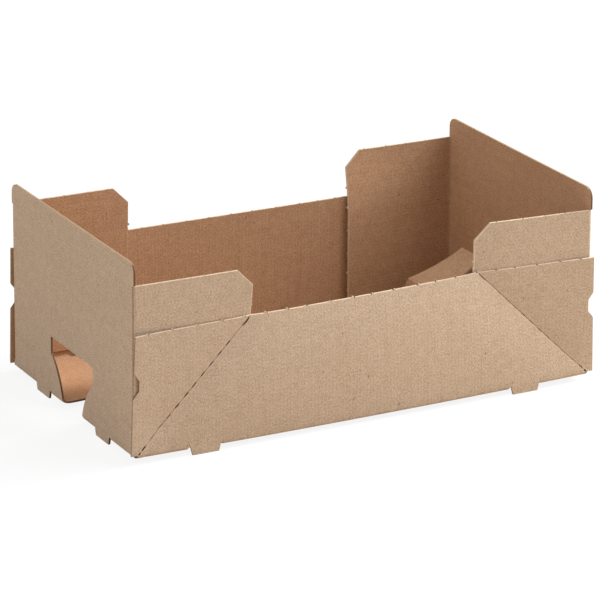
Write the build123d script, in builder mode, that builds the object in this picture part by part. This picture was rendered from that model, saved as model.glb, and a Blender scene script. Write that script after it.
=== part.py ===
"""Pop-up carrier tray for cups and snacks, folded from one blank of fine-flute kraft board.

Millimetres, +Z up, +X along the length and -Y the front. The origin is at the middle of the
base, level with the soles of the small feet that the tray stands on.
"""

import math
import os

from build123d import *

# Board
BOARD = 1.6
CREASE_INSIDE = 0.8

# Tray, measured over the outer faces of its folded panels
LENGTH = 381.0
DEPTH = 213.0
WALL_HEIGHT = 94.0
END_HEIGHT = 146.5
END_CORNER_RADIUS = 8.0

# Ears: the glue flaps that stand in the corners, hinged on the end panels
EAR_LENGTH = 95.0
EAR_HEIGHT = 130.0
EAR_CHAMFER = 12.5
EAR_FLOOR_GAP = 3.0

# Raw side edges of the long walls, which stand past the end panels
OVERHANG_BASE = 2.6
OVERHANG_TOP = 0.8
SIDE_NOTCH_CENTRE = 56.0
SIDE_NOTCH_MOUTH = 20.0
SIDE_NOTCH_BOTTOM = 8.0
SIDE_NOTCH_INSET = 3.0

# Feet: tabs in the panels' planes below the bottom folds
FOOT_DROP = 4.3
FOOT_LENGTH = 24.5
FOOT_SOLE = 21.0
FOOT_WINDOW_SLACK = 0.4
WALL_FOOT_FROM_CORNER = 56.5
END_FOOT_FROM_CORNER = 55.0

# Keystone cut through each end panel, wide at the top and narrow at the fold
KEYSTONE_HEIGHT = 46.5
KEYSTONE_WIDTH = 73.5
KEYSTONE_SHOULDER = 33.0
FOLD_WIDTH = 33.5
FOLD_FLARE = 12.0

# Tongue cut from the floor: a riser, a sloping ramp, and the keystone hanging from its tip,
# waisted at a neck that lies a little inside the end panel's fold
ROOT_WIDTH = 69.0
KNEE_WIDTH = 49.0
NECK_WIDTH = 30.0
NECK_FROM_FOLD = 6.0
RISER_LENGTH = 50.0
RISER_ANGLE = 74.0
RAMP_LENGTH = 47.0
RAMP_ANGLE = 27.0

# Cut crease along the 45 degree line in each corner of the long walls
SLIT_PITCH = 9.6
SLIT_LENGTH = 5.6
SLIT_WIDTH = 0.5
SLIT_FROM_CORNER = 8.0

crease_outside = BOARD + CREASE_INSIDE
half_length = LENGTH / 2
half_depth = DEPTH / 2
end_half_width = half_depth - BOARD
floor_top = FOOT_DROP + BOARD
fold_top = FOOT_DROP + crease_outside
wall_top = FOOT_DROP + WALL_HEIGHT
end_top = FOOT_DROP + END_HEIGHT
ear_top = FOOT_DROP + EAR_HEIGHT
ear_bottom = floor_top + EAR_FLOOR_GAP
ear_tip = half_length - EAR_LENGTH
notch_middle = FOOT_DROP + SIDE_NOTCH_CENTRE
wall_foot = half_length - WALL_FOOT_FROM_CORNER
end_foot = half_depth - END_FOOT_FROM_CORNER

# Points of the tongue on the underside of the board
hinge_x = half_length - RISER_LENGTH - RAMP_LENGTH
hinge_bend = crease_outside * math.tan(math.radians(RISER_ANGLE / 2))
knee_x = hinge_x + RISER_LENGTH * math.cos(math.radians(RISER_ANGLE))
knee_z = FOOT_DROP + RISER_LENGTH * math.sin(math.radians(RISER_ANGLE))
tip_x = knee_x + RAMP_LENGTH * math.cos(math.radians(RAMP_ANGLE))
tip_z = knee_z + RAMP_LENGTH * math.sin(math.radians(RAMP_ANGLE))
standing_neck_x = tip_x - NECK_FROM_FOLD * math.cos(math.radians(RAMP_ANGLE))

front_face = Plane.XZ.offset(half_depth)
back_face = Plane.XZ.offset(-half_depth)
right_face = Plane.YZ.offset(half_length)
plan = Plane(origin=(0, 0, 0), x_dir=(0, 1, 0), z_dir=(0, 0, -1))


def bent_board(plane, points, radii):
    """Draw the section of a board bent along a line, with its thickness to the line's left."""
    with BuildSketch(plane) as section:
        with BuildLine():
            FilletPolyline(*points, radius=radii)
            offset(amount=BOARD, side=Side.LEFT)
        make_face()
    return section.sketch


def even_outline(plane, points):
    """Draw an outline from its points right of the middle line, and their mirror image."""
    mirrored = [(-across, along) for across, along in reversed(points)]
    with BuildSketch(plane) as outline:
        with BuildLine():
            Polyline(*points, *mirrored, close=True)
        make_face()
    return outline.sketch


def closed_outline(plane, points):
    """Draw an outline with straight sides through its points."""
    with BuildSketch(plane) as outline:
        with BuildLine():
            Polyline(*points, close=True)
        make_face()
    return outline.sketch


def foot(plane):
    """Draw one foot in its panel's plane, from above the fold down to its sole."""
    points = [(FOOT_SOLE / 2, 0), (FOOT_LENGTH / 2, FOOT_DROP), (FOOT_LENGTH / 2, fold_top)]
    return even_outline(plane, points)


def foot_window(plane):
    """Draw the window that a foot leaves in the floor, from its panel's inner face inwards."""
    near_half = FOOT_LENGTH / 2 + FOOT_WINDOW_SLACK
    far_half = FOOT_SOLE / 2 + FOOT_WINDOW_SLACK
    return even_outline(plane, [(near_half, BOARD), (far_half, BOARD + FOOT_DROP)])


def keystone(plane, fold_height, up):
    """Draw the keystone from its fold to its wide end, which stands up (1) or hangs down (-1)."""
    flare = math.radians(FOLD_FLARE)
    shoulder = fold_height + up * KEYSTONE_SHOULDER
    far_end = fold_height + up * KEYSTONE_HEIGHT
    half_fold = FOLD_WIDTH / 2
    half_key = KEYSTONE_WIDTH / 2
    with BuildSketch(plane) as outline:
        with BuildLine():
            for side in (-1, 1):
                tangent = (side * math.sin(flare), up * math.cos(flare))
                TangentArc((side * half_fold, fold_height), (side * half_key, shoulder), tangent=tangent)
                Line((side * half_key, shoulder), (side * half_key, far_end))
            Line((-half_key, far_end), (half_key, far_end))
            Line((-half_fold, fold_height), (half_fold, fold_height))
        make_face()
    return outline.sketch


def tongue_outline(root, knee, neck, fold):
    """Draw the tongue from above, straight from hinge to knee and curved in to its neck."""
    half_root = ROOT_WIDTH / 2
    half_fold = FOLD_WIDTH / 2
    past_fold = fold + crease_outside
    with BuildSketch(plan) as outline:
        with BuildLine():
            for side in (-1, 1):
                knee_point = (side * KNEE_WIDTH / 2, knee)
                neck_point = (side * NECK_WIDTH / 2, neck)
                fold_point = (side * half_fold, fold)
                Polyline((side * half_root, root), (side * half_root, hinge_x), knee_point)
                TangentArc(neck_point, knee_point, tangent=(0, -1))
                TangentArc(neck_point, fold_point, tangent=(0, 1))
                Line(fold_point, (side * half_fold, past_fold))
            Line((-half_root, root), (half_root, root))
            Line((-half_fold, past_fold), (half_fold, past_fold))
        make_face()
    return outline.sketch


# Tongue of the right-hand end, trimmed to its outline out of a wide bent strip
tongue_line = [
    (hinge_x - 2 * hinge_bend, FOOT_DROP),
    (hinge_x, FOOT_DROP),
    (knee_x, knee_z),
    (tip_x, tip_z),
    (tip_x, tip_z - KEYSTONE_HEIGHT),
]
tongue_radii = [crease_outside, CREASE_INSIDE, CREASE_INSIDE]
with BuildPart() as tongue_envelope:
    standing_outline = tongue_outline(hinge_x - 2 * hinge_bend, knee_x, standing_neck_x, tip_x)
    extrude(standing_outline, amount=-end_top)
    head_plane = Plane.YZ.offset(tip_x - CREASE_INSIDE)
    extrude(keystone(head_plane, tip_z, -1), amount=CREASE_INSIDE + crease_outside)

with BuildPart() as tongue:
    extrude(bent_board(Plane.XZ, tongue_line, tongue_radii), amount=KEYSTONE_WIDTH, both=True)
    add(tongue_envelope.part, mode=Mode.INTERSECT)

# Right-hand half of the tray, then its mirror image
with BuildPart() as folded_tray:
    # Floor bent up into the foot of the end panel
    floor_and_end = [(0, FOOT_DROP), (half_length, FOOT_DROP), (half_length, ear_bottom)]
    extrude(bent_board(Plane.XZ, floor_and_end, crease_outside), amount=end_half_width, both=True)

    # Top of the end panel, above its ears
    with BuildSketch(right_face) as end_panel_top:
        with Locations((0, (ear_top + end_top) / 2)):
            Rectangle(2 * end_half_width, end_top - ear_top)
        fillet(end_panel_top.vertices().group_by(Axis.Y)[-1], END_CORNER_RADIUS)
    extrude(amount=-BOARD)

    # End panel bent round the corners into the ears
    ear_line = [
        (ear_tip, -end_half_width),
        (half_length, -end_half_width),
        (half_length, end_half_width),
        (ear_tip, end_half_width),
    ]
    ear_section = bent_board(Plane.XY.offset(ear_bottom), ear_line, crease_outside)
    extrude(ear_section, amount=ear_top - ear_bottom)
    ear_corner = [
        (ear_tip, ear_top),
        (ear_tip + EAR_CHAMFER, ear_top),
        (ear_tip, ear_top - EAR_CHAMFER),
    ]
    chamfer_cut = closed_outline(Plane.XZ, ear_corner)
    extrude(chamfer_cut, amount=half_depth, both=True, mode=Mode.SUBTRACT)

    # Floor bent up into the long walls, with their raw side edges past the end panel
    wall_line = [
        (-half_depth, wall_top),
        (-half_depth, FOOT_DROP),
        (half_depth, FOOT_DROP),
        (half_depth, wall_top),
    ]
    wall_section = bent_board(Plane.YZ, wall_line, crease_outside)
    extrude(wall_section, amount=half_length - crease_outside)
    side_strip = [
        (half_length - crease_outside, FOOT_DROP),
        (half_length + OVERHANG_BASE, FOOT_DROP),
        (half_length + OVERHANG_TOP, wall_top),
        (half_length - crease_outside, wall_top),
    ]
    side_notch = [
        (half_length - SIDE_NOTCH_INSET, notch_middle - SIDE_NOTCH_BOTTOM / 2),
        (half_length + OVERHANG_BASE, notch_middle - SIDE_NOTCH_MOUTH / 2),
        (half_length + OVERHANG_BASE, notch_middle + SIDE_NOTCH_MOUTH / 2),
        (half_length - SIDE_NOTCH_INSET, notch_middle + SIDE_NOTCH_BOTTOM / 2),
    ]
    for wall_face, inward in ((front_face, -BOARD), (back_face, BOARD)):
        extrude(closed_outline(wall_face, side_strip), amount=inward)
        extrude(closed_outline(wall_face, side_notch), amount=inward, mode=Mode.SUBTRACT)

    # Feet, and the windows that they leave in the floor
    for side in (-1, 1):
        wall_place = (wall_foot, side * half_depth, 0)
        end_place = (half_length, side * end_foot, 0)
        for place, outward in ((wall_place, Vector(0, side, 0)), (end_place, Vector(1, 0, 0))):
            along = Vector(0, 0, 1).cross(outward)
            panel_plane = Plane(origin=place, x_dir=along, z_dir=outward)
            floor_plane = Plane(origin=place, x_dir=along, z_dir=(0, 0, 1))
            extrude(foot(panel_plane), amount=-BOARD)
            extrude(foot_window(floor_plane), amount=fold_top, mode=Mode.SUBTRACT)

    # Keystone cut through the end panel, and the opening that the tongue leaves in the floor
    extrude(keystone(right_face, FOOT_DROP, 1), amount=-crease_outside, mode=Mode.SUBTRACT)
    flat_knee_x = hinge_x + RISER_LENGTH
    flat_neck_x = half_length - NECK_FROM_FOLD
    floor_opening = tongue_outline(hinge_x - hinge_bend, flat_knee_x, flat_neck_x, half_length)
    extrude(floor_opening, amount=-fold_top, mode=Mode.SUBTRACT)
    add(tongue.part)

    # Slits of the cut creases, through the long walls as far as the ears behind them
    diagonal = WALL_HEIGHT * math.sqrt(2) - SLIT_FROM_CORNER
    slit_count = int(diagonal / SLIT_PITCH)
    for wall_face, inward in ((front_face, -BOARD), (back_face, BOARD)):
        with BuildSketch(wall_face):
            for number in range(slit_count):
                reach = (SLIT_FROM_CORNER + number * SLIT_PITCH + SLIT_LENGTH / 2) / math.sqrt(2)
                with Locations(Location((half_length - reach, FOOT_DROP + reach), 135)):
                    Rectangle(SLIT_LENGTH, SLIT_WIDTH)
        extrude(amount=inward, mode=Mode.SUBTRACT)

    mirror(about=Plane.YZ)

folded_tray.part.label = "folded_tray"
os.makedirs("parts", exist_ok=True)
export_step(folded_tray.part, "parts/folded_tray.step")
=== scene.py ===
"""Pop-up carrier tray, folded in code from one flat blank of kraft board.

The blank is laid out flat in millimetres, u along the tray's length and v across it, with every
cut line, slit and window in place. Each point of the flat sheet is then carried round the creases
to its place in the folded tray, once for the outside liner and once for the inside liner.
"""

import logging
import math
import random
from collections.abc import Callable, Iterable, Sequence
from dataclasses import dataclass, field
from enum import Enum, IntEnum

import bmesh
import bpy
from mathutils import Matrix, Vector
from mathutils.geometry import delaunay_2d_cdt

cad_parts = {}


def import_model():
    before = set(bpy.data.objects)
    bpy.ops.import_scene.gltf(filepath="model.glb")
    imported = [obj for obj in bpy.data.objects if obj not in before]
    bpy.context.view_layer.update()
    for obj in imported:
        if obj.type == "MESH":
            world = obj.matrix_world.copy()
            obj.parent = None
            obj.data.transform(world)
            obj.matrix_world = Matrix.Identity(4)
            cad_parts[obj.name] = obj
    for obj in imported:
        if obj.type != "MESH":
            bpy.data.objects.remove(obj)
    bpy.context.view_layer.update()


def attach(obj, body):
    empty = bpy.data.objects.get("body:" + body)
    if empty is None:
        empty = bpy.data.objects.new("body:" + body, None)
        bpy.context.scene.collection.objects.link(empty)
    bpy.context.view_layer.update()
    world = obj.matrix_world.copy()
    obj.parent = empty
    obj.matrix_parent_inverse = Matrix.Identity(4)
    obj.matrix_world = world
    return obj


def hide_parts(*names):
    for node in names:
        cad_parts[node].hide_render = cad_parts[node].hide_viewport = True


LOG = logging.getLogger("carrier_tray")
MM = 0.001
BLANK_MAP = "blank"
FOLD_STEPS = 6
WELD = 0.00002
SHARP_ANGLE = 32.0
CLOSE = 0.01

Flat = tuple[float, float]
Span = tuple[float, float]
Colour = tuple[float, float, float]
WHITE: Colour = (1.0, 1.0, 1.0)


class Skin(IntEnum):
    """Faces of the board, in the order of the piece's material slots."""

    OUTSIDE = 0
    INSIDE = 1
    FLUTED_EDGE = 2
    PLAIN_EDGE = 3
    # Paler edge paper: a painted highlight where cut edges catch the light.
    LIT_EDGE = 4
    # Darker edge paper: painted shade in slits and side notches.
    SHADED_EDGE = 5


class Zone(Enum):
    """Parts of the flat blank that are carried to their places in different ways."""

    FLOOR = "floor"
    LONG_WALL = "long wall"
    END_PANEL = "end panel"
    EAR = "ear"
    WALL_FOOT = "wall foot"
    END_FOOT = "end foot"


class Value:
    """A shader socket that takes part in Python sums, each of which adds its Math nodes."""

    def __init__(self, desk: "ShaderDesk", socket: bpy.types.NodeSocket) -> None:
        """Keep the socket and the desk that adds nodes to its tree."""
        self.desk = desk
        self.socket = socket

    def _sum(self, operation: str, *terms: "Value | float") -> "Value":
        """Add one Math node over the given terms."""
        return self.desk.node("ShaderNodeMath", {"operation": operation}, dict(enumerate(terms)))

    def __add__(self, other: "Value | float") -> "Value":
        """Add."""
        return self._sum("ADD", self, other)

    def __radd__(self, other: float) -> "Value":
        """Add, with the plain number first."""
        return self._sum("ADD", other, self)

    def __sub__(self, other: "Value | float") -> "Value":
        """Subtract."""
        return self._sum("SUBTRACT", self, other)

    def __rsub__(self, other: float) -> "Value":
        """Subtract from a plain number."""
        return self._sum("SUBTRACT", other, self)

    def __mul__(self, other: "Value | float") -> "Value":
        """Multiply."""
        return self._sum("MULTIPLY", self, other)

    def __rmul__(self, other: float) -> "Value":
        """Multiply, with the plain number first."""
        return self._sum("MULTIPLY", other, self)

    def __truediv__(self, other: "Value | float") -> "Value":
        """Divide."""
        return self._sum("DIVIDE", self, other)

    def __rtruediv__(self, other: float) -> "Value":
        """Divide a plain number."""
        return self._sum("DIVIDE", other, self)

    def __abs__(self) -> "Value":
        """Drop the sign."""
        return self._sum("ABSOLUTE", self)

    def sine(self) -> "Value":
        """Take the sine of radians."""
        return self._sum("SINE", self)

    def lesser(self, other: "Value | float") -> "Value":
        """Take the smaller of two values."""
        return self._sum("MINIMUM", self, other)

    def greater(self, other: "Value | float") -> "Value":
        """Take the larger of two values."""
        return self._sum("MAXIMUM", self, other)

    def band(self, start: float, end: float) -> "Value":
        """Rise smoothly from 0 at start to 1 at end, or fall where end is the smaller.

        Args:
            start: Value at which the result is 0.
            end: Value at which the result is 1.

        Returns:
            The smooth step.
        """
        low, high = min(start, end), max(start, end)
        first, last = (0.0, 1.0) if start < end else (1.0, 0.0)
        return self.desk.node(
            "ShaderNodeMapRange",
            {"interpolation_type": "SMOOTHSTEP"},
            {0: self, 1: low, 2: high, 3: first, 4: last},
        )


class ShaderDesk:
    """Adds nodes to one node tree."""

    def __init__(self, tree: bpy.types.NodeTree) -> None:
        """Start from an empty tree."""
        self.tree = tree
        tree.nodes.clear()

    @classmethod
    def for_material(cls, name: str) -> tuple[bpy.types.Material, "ShaderDesk"]:
        """Make a material, and a desk for its tree.

        Args:
            name: The material's name.

        Returns:
            The material and its desk.
        """
        material = bpy.data.materials.new(name)
        material.use_nodes = True
        return material, cls(material.node_tree)

    def node(
        self,
        kind: str,
        settings: dict[str, object] | None = None,
        sockets: dict[int | str, object] | None = None,
        output: int | str = 0,
    ) -> Value:
        """Add a node, make its settings, then fill its sockets.

        Args:
            kind: Blender's name of the node type.
            settings: Properties to set first.
            sockets: Values, colours or links by the socket's index or name.
            output: Index or name of the output that is handed on.

        Returns:
            The chosen output.
        """
        node = self.tree.nodes.new(kind)
        for name, setting in (settings or {}).items():
            setattr(node, name, setting)
        for place, filling in (sockets or {}).items():
            socket = node.inputs[place]
            if isinstance(filling, Value):
                self.tree.links.new(filling.socket, socket)
            else:
                socket.default_value = filling
        return Value(self, node.outputs[output] if node.outputs else node.inputs[0])

    def mix(self, share: Value | float, first: Value | Colour, second: Value | Colour) -> Value:
        """Mix two colours.

        Args:
            share: Share of the second colour.
            first: Colour or link.
            second: Colour or link.

        Returns:
            The mixed colour.
        """
        full = [part if isinstance(part, Value) else (*part, 1.0) for part in (first, second)]
        return self.node("ShaderNodeMix", {"data_type": "RGBA"}, {0: share, 6: full[0], 7: full[1]}, 2)

    def blank_place(self) -> Value:
        """Give the place in the flat blank, in metres, that the mesh keeps as its UV map."""
        return self.node("ShaderNodeUVMap", {"uv_map": BLANK_MAP})

    def part(self, place: Value, axis: int) -> Value:
        """Take one part of a vector."""
        return self.node("ShaderNodeSeparateXYZ", None, {0: place}, axis)

    def close(self, colour: Value, rough: float, shine: float, normal: Value | None = None) -> None:
        """End a material's tree with one plain surface.

        Args:
            colour: Colour of the surface.
            rough: Its roughness.
            shine: Its specular level.
            normal: Its bumped normal, if it has one.
        """
        sockets = {"Base Color": colour, "Roughness": rough, "Specular IOR Level": shine}
        if normal is not None:
            sockets["Normal"] = normal
        surface = self.node("ShaderNodeBsdfPrincipled", None, sockets)
        self.node("ShaderNodeOutputMaterial", None, {0: surface})


@dataclass(frozen=True)
class Grain:
    """One layer of soft noise in a paper.

    It has its cells to a metre, its octaves, the share of the finer ones, and a factor along the
    flutes, below 1 where the cells are drawn out.
    """

    cells: float
    octaves: float
    rough: float = 0.55
    along: float = 1.0

    def sample(self, desk: ShaderDesk, place: Value) -> Value:
        """Sample the layer.

        Args:
            desk: Desk that adds the nodes.
            place: Where to sample.

        Returns:
            The noise, about 0.5 on average.
        """
        if self.along != 1.0:
            terms = {0: place, 1: (1.0, self.along, 1.0)}
            place = desk.node("ShaderNodeVectorMath", {"operation": "MULTIPLY"}, terms)
        sockets = {"Vector": place, "Scale": self.cells, "Detail": self.octaves, "Roughness": self.rough}
        return desk.node("ShaderNodeTexNoise", {"noise_dimensions": "3D"}, sockets)


@dataclass(frozen=True)
class Board:
    """Fine-flute corrugated board and the way that it creases.

    Lengths are in millimetres.
    """

    thickness: float = 1.6
    outside_radius: float = 2.4
    flute_pitch: float = 2.88

    @property
    def middle_radius(self) -> float:
        """Radius of a crease at the middle of the board."""
        return self.outside_radius - self.thickness / 2

    @property
    def flute_turns(self) -> float:
        """Radians that the flutes turn through in a metre across them."""
        return 2 * math.pi / (self.flute_pitch * MM)

    @property
    def arc(self) -> float:
        """Length of a right-angle crease along the middle of the board."""
        return self.middle_radius * math.pi / 2

    def bend(self, run: float, depth: float) -> tuple[float, float]:
        """Carry a point round a right-angle crease.

        Args:
            run: Distance past the start of the crease, along the middle of the board.
            depth: Distance under the outside face.

        Returns:
            Distances ahead of the crease's start and inwards from the outside face before it.
        """
        if run <= 0:
            return run, depth
        radius = self.outside_radius - depth
        if run >= self.arc:
            return radius, self.outside_radius + run - self.arc
        turn = run / self.middle_radius
        return radius * math.sin(turn), self.outside_radius - radius * math.cos(turn)


@dataclass(frozen=True)
class Relaxed:
    """How far the folded panels have relaxed from square.

    Walls, ends and ears lean inwards, in degrees: a pair is the lean at a panel's left and right
    or front and back edge. The rest are lengths in millimetres, outwards or up, apart from the
    share of the walls' height at which the ears start to bend and the power of the corners' curl.
    A corner is named by its sides, -1 at the left or front and 1 at the right or back.
    """

    front_wall: Span = (1.15, 5.9)
    back_wall: Span = (0.0, 1.0)
    left_end: Span = (0.1, 0.1)
    right_end: Span = (0.9, 0.6)
    ear_tops: dict[tuple[int, int], float] = field(
        default_factory=lambda: {(-1, -1): 0.2, (1, -1): 6.6, (-1, 1): 0.5, (1, 1): -1.6}
    )
    ear_feet: dict[tuple[int, int], float] = field(
        default_factory=lambda: {(-1, -1): 0.5, (1, -1): 0.0, (-1, 1): 0.0, (1, 1): 1.1}
    )
    ear_bend_start: float = 0.8
    front_bow: float = 0.65
    right_lift: float = 1.0
    front_bulge: float = 2.2
    bulge_rise: float = 60.0
    corner_curls: dict[tuple[int, int], float] = field(
        default_factory=lambda: {(-1, -1): 3.6, (1, -1): 1.2, (-1, 1): 0.6, (1, 1): 0.6}
    )
    curl_reach: float = 26.0
    curl_power: float = 1.6
    crease_swells: dict[tuple[int, int], float] = field(
        default_factory=lambda: {(-1, -1): -2.4, (1, -1): -2.2, (-1, 1): 0.4, (1, 1): 0.4}
    )
    swell_reach: float = 14.0
    crease_groove: float = 0.42
    groove_half_width: float = 0.7
    crease_full: float = 30.0

    def crease_rise(self, corner: tuple[int, int], reach: float, height: float) -> float:
        """Give how far a long wall swells outwards beside its cut crease.

        Args:
            corner: Sides of the corner that the crease runs into.
            reach: Distance along the tray from the end panel's face.
            height: Height above the bottom fold.

        Returns:
            The outward rise, which is negative in the groove of the crease.
        """
        off = (reach - height) / math.sqrt(2)
        along = (reach + height) / math.sqrt(2)
        grown = min(max(along / self.crease_full, 0.0), 1.0)
        swell = self.crease_swells[corner] * math.exp(-abs(off) / self.swell_reach)
        groove = self.crease_groove * math.exp(-((off / self.groove_half_width) ** 2))
        return (swell - groove) * grown

    def curl(self, corner: tuple[int, int], reach: float, share: float) -> float:
        """Give how far the raw edge of a long wall curls outwards, at a share of its height."""
        decay = math.exp(-max(reach, 0.0) / self.curl_reach)
        return self.corner_curls[corner] * decay * min(max(share, 0.0), 1.0) ** self.curl_power

    def wall_lean(self, side: int, along: float) -> float:
        """Give a long wall's lean in radians.

        Args:
            side: -1 at the front and 1 at the back.
            along: Place along the middle panel, from 0 at its left end to 1 at its right end.

        Returns:
            The lean.
        """
        left, right = self.front_wall if side < 0 else self.back_wall
        share = min(max(along, 0.0), 1.0)
        return math.radians(left + (right - left) * share)

    def end_lean(self, side: int, across: float) -> float:
        """Give an end panel's lean in radians.

        Args:
            side: -1 at the left and 1 at the right.
            across: Place across the panel, from 0 at its front edge to 1 at its back edge.

        Returns:
            The lean.
        """
        front, back = self.left_end if side < 0 else self.right_end
        share = min(max(across, 0.0), 1.0)
        return math.radians(front + (back - front) * share)


def straight(start: Flat, end: Flat, step: float) -> list[Flat]:
    """Divide a straight cut into points, leaving out its end.

    Args:
        start: First point.
        end: Last point, which the next cut gives.
        step: Longest distance between points.

    Returns:
        The points.
    """
    count = max(1, math.ceil(math.dist(start, end) / step))
    return [
        (
            start[0] + (end[0] - start[0]) * number / count,
            start[1] + (end[1] - start[1]) * number / count,
        )
        for number in range(count)
    ]


def round_corner(centre: Flat, radius: float, first: float, last: float, count: int) -> list[Flat]:
    """Draw an arc.

    Args:
        centre: Centre of the arc.
        radius: Radius.
        first: Angle at its start, in degrees.
        last: Angle at its end, in degrees.
        count: Number of steps.

    Returns:
        Its points, both ends among them.
    """
    points = []
    for number in range(count + 1):
        angle = math.radians(first + (last - first) * number / count)
        points.append((centre[0] + radius * math.cos(angle), centre[1] + radius * math.sin(angle)))
    return points


def tangent_arc(start: Flat, heading: Flat, end: Flat, count: int) -> list[Flat]:
    """Draw an arc that leaves its start along a heading.

    Args:
        start: First point.
        heading: Unit direction of the arc at its start.
        end: Last point.
        count: Number of steps.

    Returns:
        Its points, both ends among them.
    """
    chord = Vector(end) - Vector(start)
    normal = Vector((-heading[1], heading[0]))
    radius = chord.length_squared / (2 * chord.dot(normal))
    centre = Vector(start) + normal * radius
    first = math.degrees(math.atan2(start[1] - centre.y, start[0] - centre.x))
    last = math.degrees(math.atan2(end[1] - centre.y, end[0] - centre.x))
    turn = (last - first + 180) % 360 - 180
    return round_corner(tuple(centre), abs(radius), first, first + turn, count)


def encloses(outline: Sequence[Flat], point: Flat) -> bool:
    """Tell whether an outline goes round a point.

    Args:
        outline: Corners of the outline, in order.
        point: The point.

    Returns:
        Whether the point is inside.
    """
    inside = False
    for (u0, v0), (u1, v1) in zip(outline, [*outline[1:], outline[0]]):
        if (v0 > point[1]) != (v1 > point[1]):
            if point[0] < (u1 - u0) * (point[1] - v0) / (v1 - v0) + u0:
                inside = not inside
    return inside


@dataclass
class Sheet:
    """A flat piece of board cut into triangles."""

    points: list[Flat]
    triangles: list[tuple[int, int, int]]

    @classmethod
    def cut(
        cls, outline: Sequence[Flat], holes: Iterable[Sequence[Flat]], inner: Iterable[Flat]
    ) -> "Sheet":
        """Cut a sheet out and divide it into triangles.

        Args:
            outline: The cut round the sheet.
            holes: Cuts inside it.
            inner: More points that the triangles meet at.

        Returns:
            The sheet.
        """
        holes = list(holes)
        points: list[Vector] = []
        edges: list[tuple[int, int]] = []
        for loop in (outline, *holes):
            start = len(points)
            count = len(loop)
            points.extend(Vector(point) for point in loop)
            edges.extend((start + n, start + (n + 1) % count) for n in range(count))
        points.extend(Vector(point) for point in inner)
        inside_the_cuts = 1
        found, _, faces, *_ = delaunay_2d_cdt(points, edges, [], inside_the_cuts, 1e-6)
        flat = [tuple(point) for point in found]
        sheet = cls(flat, [tuple(face) for face in faces])
        for hole in holes:
            sheet.open(hole)
        sheet.trim()
        return sheet

    def trim(self) -> None:
        """Leave out the points that no triangle meets."""
        used = sorted({corner for face in self.triangles for corner in face})
        number = {old: new for new, old in enumerate(used)}
        self.points = [self.points[old] for old in used]
        self.triangles = [tuple(number[corner] for corner in face) for face in self.triangles]

    def open(self, hole: Sequence[Flat]) -> None:
        """Take out the triangles inside a cut.

        Args:
            hole: Corners of the cut, in order.
        """
        low = [min(point[axis] for point in hole) for axis in (0, 1)]
        high = [max(point[axis] for point in hole) for axis in (0, 1)]
        kept = []
        for face in self.triangles:
            u = sum(self.points[corner][0] for corner in face) / 3
            v = sum(self.points[corner][1] for corner in face) / 3
            boxed = low[0] < u < high[0] and low[1] < v < high[1]
            if not (boxed and encloses(hole, (u, v))):
                kept.append(face)
        self.triangles = kept

    def rim(self) -> list[tuple[int, int]]:
        """Find the edges that only one triangle has.

        Returns:
            The two points of each edge, in its triangle's direction.
        """
        seen: dict[frozenset[int], list[tuple[int, int]]] = {}
        for face in self.triangles:
            for first, second in zip(face, face[1:] + face[:1]):
                seen.setdefault(frozenset((first, second)), []).append((first, second))
        return [edges[0] for edges in seen.values() if len(edges) == 1]


@dataclass(frozen=True)
class Mark:
    """A straight line painted on a liner along a fold or a cut, alike in the blank's four quarters.

    Places are in millimetres in the flat. The line is where the two factors times u and v add up
    to its place, within its spans of u and v. A dark line is crushed liner with painted crease
    shade; a pale one is a painted highlight.
    to its place, within its spans of u and v.
    """

    factors: Flat
    place: float
    u_span: Span
    v_span: Span
    half_width: float
    tone: Colour
    share: float
    core: float = 0.4
    soft_edge: float = 0.3
    soft_end: float = 0.6

    def mask(self, u: Value, v: Value) -> Value:
        """Cover the line in a shader.

        Args:
            u: Place along the blank from its middle, in metres and positive.
            v: Place across the blank from its middle, in metres and positive.

        Returns:
            The line's share of the colour.
        """
        off = abs(u * self.factors[0] + v * self.factors[1] - self.place * MM)
        line = off.band((self.half_width + self.soft_edge) * MM, self.half_width * self.core * MM)
        for part, (low, high) in ((u, self.u_span), (v, self.v_span)):
            line = line * part.band((low - self.soft_end) * MM, low * MM)
            line = line * part.band((high + self.soft_end) * MM, high * MM)
        return line * self.share


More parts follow.
